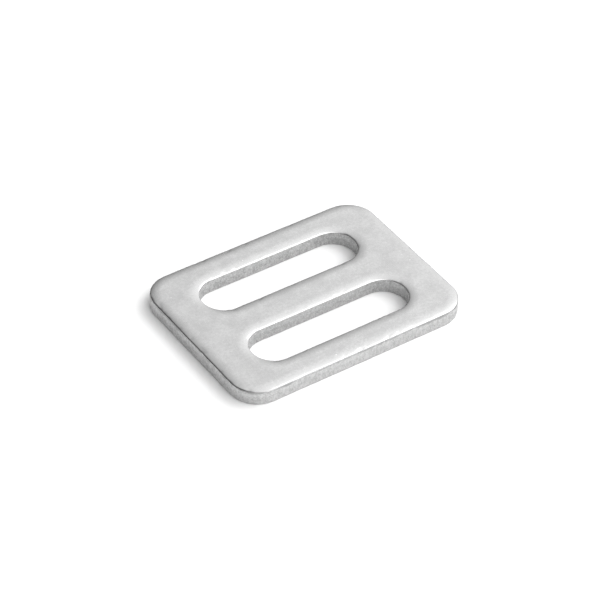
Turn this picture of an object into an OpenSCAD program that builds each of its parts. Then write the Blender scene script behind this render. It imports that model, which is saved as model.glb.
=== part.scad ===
// Two-slot webbing slider, punched from flat sheet and tumbled smooth.
// The underside rests on z = 0 with the origin at its centre. +X runs along the slots,
// +Y across them, and +Z out of the face whose edges the punch has drawn down.

/* [Webbing] */
// Width of the webbing that threads through the slots
webbing_width = 25; // [15:0.5:50]
// Room left in a slot's length beside the webbing
webbing_clearance = 1; // [0.5:0.1:3]
// Opening of each slot across the webbing, which takes it folded
slot_opening = 7; // [4:0.1:12]

/* [Plate] */
// Thickness of the sheet
sheet_thickness = 2.5; // [1.5:0.1:4]
// Width of the bar across each end of the slots
end_bar = 6; // [4:0.1:12]
// Width of the two outer bars beside the slots
outer_bar = 4.4; // [3.6:0.1:10]
// Width of the bar between the slots, which the webbing turns round
centre_bar = 5.7; // [3.6:0.1:12]
// Radius of the plate's four corners
corner_radius = 4.4; // [2:0.1:8]

/* [Edges] */
// How far in from each wall the punch has drawn the top face down
roll_width = 1.6; // [0.8:0.1:2.2]
// How far the drawn-down face has dropped where it meets the wall
roll_drop = 0.22; // [0.1:0.01:0.4]
// Radius that tumbling has left between the rolled face and the wall
top_edge_radius = 0.2; // [0.1:0.01:0.35]
// Radius that tumbling has left along the underside's edges
bottom_edge_radius = 0.15; // [0.05:0.01:0.3]

/* [Hidden] */
$fn = 180;

// Flat strip that always stays between two rolls
least_flat = 0.4;
// Reach of a cutter past the face that it cuts
cut_margin = 1;

slot_length = webbing_width + webbing_clearance;
slot_end_radius = slot_opening / 2;
slot_straight = slot_length - slot_opening;
slot_pitch = slot_opening + centre_bar;
plate_length = slot_length + 2 * end_bar;
plate_width = slot_pitch + slot_opening + 2 * outer_bar;

// From a corner's centre out to the centre of the nearest slot end. Only a large corner
// reaches past the slot end, and the wall between them is then thinner than the bars.
slot_from_corner = [
    corner_radius - slot_end_radius - end_bar,
    corner_radius - slot_end_radius - outer_bar
];
corner_wall = corner_radius - slot_end_radius - norm(slot_from_corner);
narrowest_bar = min(end_bar, outer_bar, centre_bar);
narrowest_wall = min(slot_from_corner) > 0 ? min(narrowest_bar, corner_wall) : narrowest_bar;

// The roll is an arc tangent to the top face, as wide as the walls and corners have room for
roll_reach = min(roll_width, (narrowest_wall - least_flat) / 2, corner_radius - least_flat);
roll_radius = (roll_reach * roll_reach + roll_drop * roll_drop) / (2 * roll_drop);
roll_centre = [roll_reach, sheet_thickness - roll_radius];

// The tumbled edge is an arc tangent to the wall and to the roll
edge_rise = sqrt(pow(roll_radius - top_edge_radius, 2) - pow(roll_reach - top_edge_radius, 2));
edge_centre = [top_edge_radius, roll_centre.y + edge_rise];
edge_reach = roll_radius / (roll_radius - top_edge_radius);
edge_touch = roll_centre + (edge_centre - roll_centre) * edge_reach;

// Section of the metal beside a wall. The wall is at x = 0 and the underside at y = 0.
module edge_section() {
    difference() {
        square([roll_reach, sheet_thickness]);
        // drawn down by the punch
        difference() {
            translate([-cut_margin, roll_centre.y])
                square([roll_reach + cut_margin, roll_radius + cut_margin]);
            translate(roll_centre) circle(r = roll_radius);
        }
        // tumbled top edge
        difference() {
            polygon([
                [-cut_margin, edge_centre.y],
                edge_centre,
                edge_touch,
                [edge_touch.x, sheet_thickness + cut_margin],
                [-cut_margin, sheet_thickness + cut_margin]
            ]);
            translate(edge_centre) circle(r = top_edge_radius);
        }
        // tumbled bottom edge
        difference() {
            translate([-cut_margin, -cut_margin]) square(cut_margin + bottom_edge_radius);
            translate([bottom_edge_radius, bottom_edge_radius]) circle(r = bottom_edge_radius);
        }
    }
}

// Straight rim along +X, centred, with its wall at y = 0 and its metal on the +Y side
module straight_rim(length) {
    translate([-length / 2, 0, 0])
        rotate([90, 0, 90])
            linear_extrude(length) edge_section();
}

// Rim of an outside corner: a quarter turn, from the wall facing +X to the one facing +Y
module corner_rim() {
    rotate_extrude(angle = 90)
        translate([corner_radius, 0]) mirror([1, 0]) edge_section();
}

// Rim round the +X end of a slot: a half turn, with its metal outside the wall
module slot_end_rim() {
    rotate([0, 0, -90])
        rotate_extrude(angle = 180)
            translate([slot_end_radius, 0]) edge_section();
}

// Outline of the plate, drawn in from its walls by the roll
module flat_outline() {
    square([plate_length - 2 * corner_radius, plate_width - 2 * roll_reach], center = true);
    square([plate_length - 2 * roll_reach, plate_width - 2 * corner_radius], center = true);
    for (x_side = [-1, 1], y_side = [-1, 1])
        translate([
            x_side * (plate_length / 2 - corner_radius),
            y_side * (plate_width / 2 - corner_radius)
        ])
            circle(r = corner_radius - roll_reach);
}

// Outline of a slot, widened by the roll
module widened_slot() {
    end_radius = slot_end_radius + roll_reach;
    square([slot_straight, 2 * end_radius], center = true);
    for (side = [-1, 1])
        translate([side * slot_straight / 2, 0]) circle(r = end_radius);
}

// The part of the plate that stays flat on top, between all the rims
module flat_web() {
    linear_extrude(sheet_thickness)
        difference() {
            flat_outline();
            for (side = [-1, 1])
                translate([0, side * slot_pitch / 2]) widened_slot();
        }
}

// Rim round the plate: one long side, one short side and two corners, and the same turned round
module plate_rim() {
    for (turn = [0, 180])
        rotate([0, 0, turn]) {
            translate([0, -plate_width / 2, 0])
                straight_rim(plate_length - 2 * corner_radius);
            translate([plate_length / 2, 0, 0])
                rotate([0, 0, 90]) straight_rim(plate_width - 2 * corner_radius);
            translate([plate_length / 2 - corner_radius, plate_width / 2 - corner_radius, 0])
                corner_rim();
            translate([plate_length / 2 - corner_radius, corner_radius - plate_width / 2, 0])
                rotate([0, 0, -90]) corner_rim();
        }
}

// Rim round a slot: one side and one end, and the same turned round
module slot_rim() {
    for (turn = [0, 180])
        rotate([0, 0, turn]) {
            translate([0, slot_end_radius, 0]) straight_rim(slot_straight);
            translate([slot_straight / 2, 0, 0]) slot_end_rim();
        }
}

// The whole slider, one piece of metal
module slider_plate() {
    color("#C4C5C6") {
        flat_web();
        plate_rim();
        for (side = [-1, 1])
            translate([0, side * slot_pitch / 2, 0]) slot_rim();
    }
}

slider_plate();
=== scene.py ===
"""A webbing slider, punched from stainless sheet and tumbled, on a pale table in soft studio light."""

import math

import bmesh
import bpy
from mathutils import Matrix, Vector, noise


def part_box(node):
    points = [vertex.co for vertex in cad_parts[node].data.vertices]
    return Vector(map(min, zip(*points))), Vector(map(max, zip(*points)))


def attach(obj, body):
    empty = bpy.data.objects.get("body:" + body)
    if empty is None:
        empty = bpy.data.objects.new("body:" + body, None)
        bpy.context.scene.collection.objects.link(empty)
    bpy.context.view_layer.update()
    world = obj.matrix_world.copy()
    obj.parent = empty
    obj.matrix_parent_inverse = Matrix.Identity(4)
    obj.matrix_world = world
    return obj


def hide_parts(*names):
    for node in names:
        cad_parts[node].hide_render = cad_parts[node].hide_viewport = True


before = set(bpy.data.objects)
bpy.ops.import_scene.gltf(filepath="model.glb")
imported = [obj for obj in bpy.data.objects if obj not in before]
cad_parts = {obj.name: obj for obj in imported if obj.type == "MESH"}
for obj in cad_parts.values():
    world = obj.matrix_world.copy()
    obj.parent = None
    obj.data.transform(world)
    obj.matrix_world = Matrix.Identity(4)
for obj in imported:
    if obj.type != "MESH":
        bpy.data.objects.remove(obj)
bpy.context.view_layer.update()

# Sizes of the slider in millimetres, in the frame's axes
MM = 0.001
plate_low, plate_high = (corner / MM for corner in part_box("slider_plate"))
PLATE_LENGTH = plate_high.x - plate_low.x
PLATE_WIDTH = plate_high.y - plate_low.y
SHEET_THICKNESS = plate_high.z - plate_low.z
CORNER_RADIUS = 4.4
SLOT_LENGTH = 26.0
SLOT_WIDTH = 7.0
CENTRE_BAR = 5.7
ROLL_WIDTH = 1.6
ROLL_DROP = 0.22
TOP_EDGE_RADIUS = 0.2
BOTTOM_EDGE_RADIUS = 0.15

# Unevenness of the metal, in millimetres: how far it strays, and over what distance
PRESS_WAVE, PRESS_WAVE_LENGTH = 0.012, 6.0
RIM_WOBBLE, RIM_WOBBLE_LENGTH = 0.02, 3.0
KNOCK_DEPTH, KNOCK_LENGTH = 0.04, 0.9

# The noise values between which a knock goes from nothing to its full depth
KNOCK_FROM, KNOCK_TO = 0.25, 0.6

# How steeply the metal has to face down, as its normal's Z, to be the underside
UNDERSIDE_NORMAL = -0.9

# How finely the mesh is cut: steps in millimetres, and pieces in each arc of the section
OUTLINE_STEP = 0.25
WALL_STEP = 0.2
LATTICE_STEP = 0.5
BOTTOM_EDGE_PIECES = 4
TOP_EDGE_PIECES = 5
ROLL_PIECES = 12

# How close two points, a point and a cutting plane, or two lengths are to count as the same, in
# millimetres
SAME_POINT = 0.0025
SAME_PLANE = 0.0001
SAME_LENGTH = 0.01

# Patterns of the finish, in millimetres
CLOUD_SIZE = 2.6
MARK_SIZE = 0.4
NICK_RADIUS, NICK_SPACING = 0.128, 1.6
DRAG_WIDTH, DRAG_LENGTH = 0.4, 0.667
GRAIN_SIZE = 0.15
WANDER_LENGTH = 1.5
SHEAR_HEIGHT, SHEAR_WANDER, SHEAR_BLUR = 1.3, 0.6, 0.15
# The painted shade line along the top of the outside walls, under the roll: how deep it reaches, how far its
# lower side wanders, its blur, and how far it runs onto the roll
LINE_DEPTH, LINE_WANDER, LINE_BLUR = 0.38, 1.0, 0.3
LINE_ON_ROLL = 0.06

# How high a cell of the nick pattern has to draw, from 0 to 1, to hold a nick
NICK_DRAW = 0.66

# The share of the way from the middle out, past which there is only the outside wall and never a slot,
# and how much lighter that wall is drawn: partly the tumbling rubbing it more, partly painted shade on
# the slot walls
OUTSIDE_SHARE = 0.94
OUTSIDE_RUB_AND_SLOT_SHADE = 0.2

# The camera, in degrees and millimetres. It aims past the origin by the shift, to its right and up
CAMERA_AZIMUTH, CAMERA_ELEVATION, CAMERA_ROLL = -35.3, 40.7, 1.76
CAMERA_DISTANCE = 391.1
CAMERA_SHIFT = (-0.552, 0.972)
LENS, SENSOR = 164.1, 36

# How far the table reaches, and how far it lies below the slider so that the two never touch, in
# millimetres
TABLE_REACH = 3000
TABLE_GAP = 0.02

# Light of the whole room, then each soft box: azimuth of its middle from +X and its elevation, how far
# it reaches to all sides, in degrees, and its brightness
ROOM_LIGHT = 0.25
SOFTBOXES = (
    (-5, 46, 25, 4.5),  # key, high on the right
    (4, 42, 67, 1.4),  # broad glow round the key
    (-91, 48, 55, 1.74),  # fill, high in front
    (-78, 0, 28, 3.6),  # low in front, for the front wall
)
SOFTBOX_MIDDLE = 0.3  # the share of a soft box's reach that is fully bright


# ---------------------------------------------------------------- shape

def add_outline(bm, length, width, radius, centre_y=0.0):
    """Adds a rectangle with round corners. With a radius of half its width its ends are full-round."""
    verts = bmesh.ops.create_grid(bm, x_segments=1, y_segments=1, size=0.5)["verts"]
    bmesh.ops.scale(bm, verts=verts, vec=(length, width, 1))
    bmesh.ops.translate(bm, verts=verts, vec=(0, centre_y, 0))
    bmesh.ops.bevel(
        bm,
        geom=verts,
        affect="VERTICES",
        offset=radius,
        segments=round(math.pi / 2 * radius / OUTLINE_STEP),
        profile=0.5,
        material=-1,
    )


def divide_long_edges(bm):
    """Cuts the straight sides as finely as the arcs."""
    for length in {round(e.calc_length(), 2) for e in bm.edges}:
        if length > 1.5 * OUTLINE_STEP:
            edges = [e for e in bm.edges if abs(e.calc_length() - length) < SAME_LENGTH]
            bmesh.ops.subdivide_edges(bm, edges=edges, cuts=round(length / OUTLINE_STEP) - 1)


def flat_blank():
    """The blank as one flat region: the outline, with both slots left out."""
    bm = bmesh.new()
    add_outline(bm, PLATE_LENGTH, PLATE_WIDTH, CORNER_RADIUS)
    pitch = SLOT_WIDTH + CENTRE_BAR
    for side in (-1, 1):
        add_outline(bm, SLOT_LENGTH, SLOT_WIDTH, SLOT_WIDTH / 2, side * pitch / 2)
    bmesh.ops.delete(bm, geom=bm.faces[:], context="FACES_ONLY")
    bmesh.ops.remove_doubles(bm, verts=bm.verts, dist=SAME_POINT)
    divide_long_edges(bm)
    bmesh.ops.triangle_fill(bm, edges=bm.edges, use_beauty=True, normal=(0, 0, 1))
    return bm


def raise_walls(bm, height):
    """Raises walls from a flat region. Gives the faces of the top, then those of the underside."""
    underside = bm.faces[:]
    raised = bmesh.ops.extrude_face_region(bm, geom=underside, use_keep_orig=True)["geom"]
    top = [g for g in raised if isinstance(g, bmesh.types.BMFace)]
    risen = [g for g in raised if isinstance(g, bmesh.types.BMVert)]
    bmesh.ops.translate(bm, verts=risen, vec=(0, 0, height))
    upright = [e for e in bm.edges if abs(e.verts[0].co.z - e.verts[1].co.z) > height / 2]
    bmesh.ops.subdivide_edges(
        bm, edges=upright, cuts=round(height / WALL_STEP) - 1, use_grid_fill=True
    )
    return top, underside


def arc_steps(radius, start, end, count):
    """Steps inward and upward along an arc of a wall's section, between two angles from the wall."""
    angles = [start + (end - start) * i / count for i in range(count + 1)]
    points = [(-radius * math.cos(a), radius * math.sin(a)) for a in angles]
    return [(b[0] - a[0], b[1] - a[1]) for a, b in zip(points, points[1:])]


def step_in(bm, faces, steps, direction):
    """Draws the edge of a flat region in and up, or down, one step at a time."""
    for inward, rise in steps:
        bmesh.ops.inset_region(bm, faces=faces, thickness=inward, depth=0, use_even_offset=True)
        verts = list({v for f in faces for v in f.verts})
        bmesh.ops.translate(bm, verts=verts, vec=(0, 0, rise * direction))


def cut_lattice(bm, faces):
    """Cuts a flat region into small squares, so that it can be waved."""
    geom = faces + list({e for f in faces for e in f.edges} | {v for f in faces for v in f.verts})
    for axis, reach in ((0, PLATE_LENGTH / 2), (1, PLATE_WIDTH / 2)):
        normal = Vector((0, 0, 0))
        normal[axis] = 1
        lines = int(reach / LATTICE_STEP)
        for line in range(-lines, lines + 1):
            cut = bmesh.ops.bisect_plane(
                bm, geom=geom, dist=SAME_PLANE, plane_co=normal * line * LATTICE_STEP, plane_no=normal
            )
            geom = cut["geom"]


def clamp(value):
    """The value, held between 0 and 1."""
    return min(max(value, 0), 1)


def tumble(bm):
    """Leaves the metal a little uneven: slow waves from the press, and small knocks along the rims.

    The underside stays flat, so that the slider lies true.
    """
    bm.normal_update()
    moves = {}
    for vert in bm.verts:
        if vert.normal.z > UNDERSIDE_NORMAL:
            place = vert.co
            rim = clamp((SHEET_THICKNESS - place.z) / ROLL_DROP)
            wave = PRESS_WAVE * noise.noise(place / PRESS_WAVE_LENGTH)
            wobble = RIM_WOBBLE * noise.noise(place / RIM_WOBBLE_LENGTH)
            knock = (noise.noise(place / KNOCK_LENGTH) - KNOCK_FROM) / (KNOCK_TO - KNOCK_FROM)
            dent = KNOCK_DEPTH * clamp(knock)
            moves[vert] = vert.normal * (wave + rim * (wobble - dent))
    for vert, move in moves.items():
        vert.co += move


def slider_mesh():
    """The slider: a punched blank whose top edges are rolled down and whose edges are tumbled round."""
    # The roll is one arc, and the top edge's radius touches both it and the wall
    roll_radius = (ROLL_WIDTH**2 + ROLL_DROP**2) / (2 * ROLL_DROP)
    roll_angle = math.asin((ROLL_WIDTH - TOP_EDGE_RADIUS) / (roll_radius - TOP_EDGE_RADIUS))
    turn = math.pi / 2 - roll_angle
    roll_middle = SHEET_THICKNESS - roll_radius
    wall_top = roll_middle + (roll_radius - TOP_EDGE_RADIUS) * math.cos(roll_angle)

    bm = flat_blank()
    bmesh.ops.translate(bm, verts=bm.verts, vec=(0, 0, BOTTOM_EDGE_RADIUS))
    top, underside = raise_walls(bm, wall_top - BOTTOM_EDGE_RADIUS)
    step_in(bm, underside, arc_steps(BOTTOM_EDGE_RADIUS, 0, math.pi / 2, BOTTOM_EDGE_PIECES), -1)
    step_in(bm, top, arc_steps(TOP_EDGE_RADIUS, 0, turn, TOP_EDGE_PIECES), 1)
    step_in(bm, top, arc_steps(roll_radius, turn, math.pi / 2, ROLL_PIECES), 1)
    cut_lattice(bm, top)
    cut_lattice(bm, underside)
    bmesh.ops.recalc_face_normals(bm, faces=bm.faces)
    tumble(bm)
    return bm


def finish_piece(name, bm):
    """Turns a bmesh in millimetres into a smooth-shaded object in metres."""
    bmesh.ops.scale(bm, verts=bm.verts, vec=(MM, MM, MM))
    mesh = bpy.data.meshes.new(name)
    bm.to_mesh(mesh)
    bm.free()
    mesh.shade_smooth()
    piece = bpy.data.objects.new(name, mesh)
    bpy.context.scene.collection.objects.link(piece)
    return piece


# ---------------------------------------------------------------- materials

def linear(hex_colour):
    """A colour written as sRGB hex, as linear RGBA."""
    def channel(start):
        c = int(hex_colour[start:start + 2], 16) / 255
        return c / 12.92 if c <= 0.04045 else ((c + 0.055) / 1.055) ** 2.4
    return (channel(1), channel(3), channel(5), 1)


def add(tree, kind, inputs=None, **settings):
    """Adds a node with its settings. An input is set to a value, or linked to a socket or a node's result."""
    node = tree.nodes.new("ShaderNode" + kind)
    for name, value in settings.items():
        setattr(node, name, value)
    live = [socket for socket in node.inputs if socket.enabled]
    for name, value in (inputs or {}).items():
        socket = live[name] if isinstance(name, int) else next(s for s in live if s.name == name)
        if isinstance(value, bpy.types.Node):
            value = next(s for s in value.outputs if s.enabled)
        if isinstance(value, bpy.types.NodeSocket):
            tree.links.new(value, socket)
        else:
            socket.default_value = value
    return node


def new_material(name):
    """An empty material and its node tree."""
    material = bpy.data.materials.new(name)
    material.use_nodes = True
    material.node_tree.nodes.clear()
    return material, material.node_tree


def satin_face(tree, place, on_rim):
    """Colour and roughness that tumbling gives the faces and the rims, with painted glints on the nicks."""
    # Clouds 2 to 3 mm across, and tumbling marks drawn at 0.4 mm, coarser than the real 0.05 mm
    clouds = add(
        tree, "TexNoise", {"Vector": place, "Scale": 1 / CLOUD_SIZE, "Detail": 2, "Roughness": 0.5}
    )
    marks = add(
        tree, "TexNoise", {"Vector": place, "Scale": 1 / MARK_SIZE, "Detail": 3, "Roughness": 0.75}
    )
    cloudy = add(tree, "Mix", {"Factor": 0.55, "A": clouds, "B": marks})
    cloud = add(tree, "MapRange", {"Value": cloudy, "From Min": 0.38, "From Max": 0.62})
    satin = add(
        tree, "Mix", {"Factor": cloud, "A": linear("#C3C3C3"), "B": linear("#D1D1D1")}, data_type="RGBA"
    )
    polished = add(
        tree, "Mix", {"Factor": on_rim, "A": satin, "B": linear("#D0D0D0")}, data_type="RGBA"
    )

    # Nicks 0.2 mm wide where pieces struck each other, about a dozen on each face, each painted lighter as a
    # glint
    struck = add(tree, "TexVoronoi", {"Vector": place, "Scale": 1 / NICK_SPACING})
    nick = add(tree, "MapRange", {
        "Value": struck,
        "From Min": NICK_RADIUS / NICK_SPACING,
        "From Max": NICK_RADIUS / 2 / NICK_SPACING,
    })
    chosen = add(tree, "Math", {0: struck.outputs["Color"], 1: NICK_DRAW}, operation="GREATER_THAN")
    painted_nick_glint = add(tree, "Math", {0: nick, 1: chosen}, operation="MULTIPLY")
    # A painted glint: the nicks are drawn lighter than the steel round them
    colour = add(
        tree, "Mix", {"Factor": painted_nick_glint, "A": polished, "B": linear("#E6E6E6")}, data_type="RGBA"
    )

    satin_roughness = add(tree, "MapRange", {"Value": cloud, "To Min": 0.28, "To Max": 0.23})
    roughness = add(tree, "Mix", {"Factor": on_rim, "A": satin_roughness, "B": 0.18})
    return colour, roughness


def punched_wall(tree, place, height, wander, outside):
    """Colour and roughness that the punch leaves on the walls, with painted shade on the slot walls."""
    # Drag lines drawn 0.4 mm wide and longer along the stroke, over grain drawn at 0.15 mm. Both are
    # coarser than real
    along_stroke = (1, 1, DRAG_WIDTH / DRAG_LENGTH)
    stroke = add(tree, "VectorMath", {0: place, 1: along_stroke}, operation="MULTIPLY")
    drags = add(
        tree, "TexNoise", {"Vector": stroke, "Scale": 1 / DRAG_WIDTH, "Detail": 3, "Roughness": 0.7}
    )
    grain = add(tree, "TexNoise", {"Vector": place, "Scale": 1 / GRAIN_SIZE, "Detail": 1})
    torn = add(tree, "Mix", {"Factor": 0.5, "A": drags, "B": grain})
    drag = add(tree, "MapRange", {"Value": torn, "From Min": 0.38, "From Max": 0.62})
    # Outside walls drawn lighter: partly more rubbing, partly painted shade left on the slot walls
    rub_and_slot_shade = add(tree, "Math", {0: outside, 1: OUTSIDE_RUB_AND_SLOT_SHADE, 2: drag}, operation="MULTIPLY_ADD")

    # The shear ends about halfway up, along a line that wanders by a few tenths of a millimetre
    lowest = SHEAR_HEIGHT - SHEAR_WANDER / 2
    shear_line = add(tree, "Math", {0: wander, 1: SHEAR_WANDER, 2: lowest}, operation="MULTIPLY_ADD")
    above = add(tree, "Math", {0: height, 1: shear_line}, operation="SUBTRACT")
    sheared = add(tree, "MapRange", {"Value": above, "From Min": -SHEAR_BLUR, "From Max": SHEAR_BLUR})
    bare = add(
        tree, "Mix", {"Factor": sheared, "A": linear("#9D9D9D"), "B": linear("#A3A3A3")}, data_type="RGBA"
    )
    dragged = add(
        tree, "Mix", {"Factor": sheared, "A": linear("#C9C9C9"), "B": linear("#CECECE")}, data_type="RGBA"
    )
    colour = add(tree, "Mix", {"Factor": rub_and_slot_shade, "A": bare, "B": dragged}, data_type="RGBA")
    roughness = add(tree, "MapRange", {"Value": sheared, "To Min": 0.6, "To Max": 0.52})
    return colour, roughness


def painted_shade_line(tree, height, wander, outside):
    """How far a place is in the painted shade line round the outside, where the roll meets the wall.

    The line's lower side wanders by a few tenths of a millimetre.
    """
    roll_low = SHEET_THICKNESS - ROLL_DROP
    low_side = roll_low - LINE_DEPTH + LINE_WANDER / 2
    stray = add(tree, "Math", {0: wander, 1: LINE_WANDER, 2: height}, operation="MULTIPLY_ADD")
    rising = add(tree, "MapRange", {
        "Value": stray,
        "From Min": low_side,
        "From Max": low_side + LINE_BLUR,
        "To Max": 0.75,
    })
    ending = add(tree, "MapRange", {
        "Value": height,
        "From Min": roll_low + LINE_ON_ROLL,
        "From Max": roll_low,
    })
    line = add(tree, "Math", {0: rising, 1: ending}, operation="MULTIPLY")
    return add(tree, "Math", {0: line, 1: outside}, operation="MULTIPLY")


def tumbled_stainless():
    """Stainless steel sheet, punched, then tumbled.

    Tumbling leaves the faces a soft satin, faintly clouded, and polishes the rims most. The walls
    keep the punch's work: drag lines along its stroke, bright where it sheared and dull where it tore.
    """
    material, tree = new_material("tumbled_stainless")
    metres = add(tree, "TexCoord").outputs["Object"]
    place = add(tree, "VectorMath", {0: metres, "Scale": 1 / MM}, operation="SCALE")
    height = add(tree, "SeparateXYZ", {"Vector": place}).outputs["Z"]
    wander = add(tree, "TexNoise", {"Vector": place, "Scale": 1 / WANDER_LENGTH, "Detail": 2})

    # A wall faces sideways, a face straight up or down, and a rim is anything between
    normal = add(tree, "NewGeometry").outputs["Normal"]
    tilt = add(tree, "SeparateXYZ", {0: normal}).outputs["Z"]
    level = add(tree, "Math", {0: tilt}, operation="ABSOLUTE")
    on_wall = add(tree, "MapRange", {"Value": level, "From Min": 0.4, "From Max": 0.2})
    on_rim = add(tree, "MapRange", {"Value": level, "From Min": 0.999, "From Max": 0.98})

    # The outside walls, which the tumbling reaches better than the walls of the slots; the slot walls are
    # also left darker as painted shade
    share = (2 / PLATE_LENGTH, 2 / PLATE_WIDTH, 0)
    spread = add(tree, "VectorMath", {0: place, 1: share}, operation="MULTIPLY")
    reach = add(tree, "VectorMath", {0: spread}, operation="LENGTH")
    outside = add(tree, "Math", {0: reach, 1: OUTSIDE_SHARE}, operation="GREATER_THAN")

    face_colour, face_roughness = satin_face(tree, place, on_rim)
    wall_colour, wall_roughness = punched_wall(tree, place, height, wander, outside)
    line = painted_shade_line(tree, height, wander, outside)
    clean = add(tree, "Mix", {"Factor": on_wall, "A": face_colour, "B": wall_colour}, data_type="RGBA")
    # A painted shade line: darker colour along the top of the outside walls, under the roll
    colour = add(tree, "Mix", {"Factor": line, "A": clean, "B": linear("#8E8E8E")}, data_type="RGBA")
    roughness = add(tree, "Mix", {"Factor": on_wall, "A": face_roughness, "B": wall_roughness})
    shader = add(tree, "BsdfPrincipled", {"Base Color": colour, "Metallic": 1.0, "Roughness": roughness})
    add(tree, "OutputMaterial", {"Surface": shader})
    return material


def pale_table():
    """Matt white card."""
    material, tree = new_material("pale_table")
    shader = add(tree, "BsdfDiffuse", {"Color": linear("#F6F6F6")})
    add(tree, "OutputMaterial", {"Surface": shader})
    return material


# ---------------------------------------------------------------- studio

def set_camera():
    """A long lens, looking down at the slider from its front left."""
    azimuth = math.radians(CAMERA_AZIMUTH)
    elevation = math.radians(CAMERA_ELEVATION)
    roll = math.radians(CAMERA_ROLL)
    turn = (
        Matrix.Rotation(azimuth, 4, "Z")
        @ Matrix.Rotation(math.pi / 2 - elevation, 4, "X")
        @ Matrix.Rotation(roll, 4, "Z")
    )
    place = Vector((*CAMERA_SHIFT, CAMERA_DISTANCE)) * MM
    data = bpy.data.cameras.new("camera")
    data.lens = LENS
    data.sensor_width = SENSOR
    data.clip_start, data.clip_end = 0.01, 10
    camera = bpy.data.objects.new("camera", data)
    camera.matrix_world = turn @ Matrix.Translation(place)
    bpy.context.scene.collection.objects.link(camera)
    bpy.context.scene.camera = camera


def set_floor():
    """The table that the slider lies on."""
    bm = bmesh.new()
    bmesh.ops.create_grid(bm, x_segments=1, y_segments=1, size=TABLE_REACH)
    bmesh.ops.translate(bm, verts=bm.verts, vec=(0, 0, -TABLE_GAP))
    floor = finish_piece("floor", bm)
    floor.data.materials.append(pale_table())


def set_lights():
    """Soft boxes on a grey room's walls and ceiling, each bright in its middle and fading out."""
    world = bpy.data.worlds.new("studio")
    bpy.context.scene.world = world
    world.use_nodes = True
    tree = world.node_tree
    tree.nodes.clear()
    direction = add(tree, "TexCoord").outputs["Generated"]
    light = ROOM_LIGHT
    for *angles, strength in SOFTBOXES:
        azimuth, elevation, reach = (math.radians(angle) for angle in angles)
        middle = (
            math.cos(azimuth) * math.cos(elevation),
            math.sin(azimuth) * math.cos(elevation),
            math.sin(elevation),
        )
        facing = add(tree, "VectorMath", {0: direction, 1: middle}, operation="DOT_PRODUCT")
        glow = add(tree, "MapRange", {
            "Value": facing,
            "From Min": math.cos(reach),
            "From Max": math.cos(SOFTBOX_MIDDLE * reach),
            "To Max": strength,
        }, interpolation_type="SMOOTHSTEP")
        light = add(tree, "Math", {0: light, 1: glow}, operation="ADD")
    room = add(tree, "Background", {"Strength": light})

    # The camera itself sees plain white past the table
    seen = add(tree, "Background", {"Color": (1, 1, 1, 1)})
    camera_ray = add(tree, "LightPath").outputs["Is Camera Ray"]
    mix = add(tree, "MixShader", {0: camera_ray, 1: room, 2: seen})
    add(tree, "OutputWorld", {"Surface": mix})


set_camera()
set_floor()
set_lights()

slider = finish_piece("slider", slider_mesh())
slider.data.materials.append(tumbled_stainless())
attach(slider, "root")
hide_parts("slider_plate")

bpy.context.scene.view_settings.view_transform = "Standard"
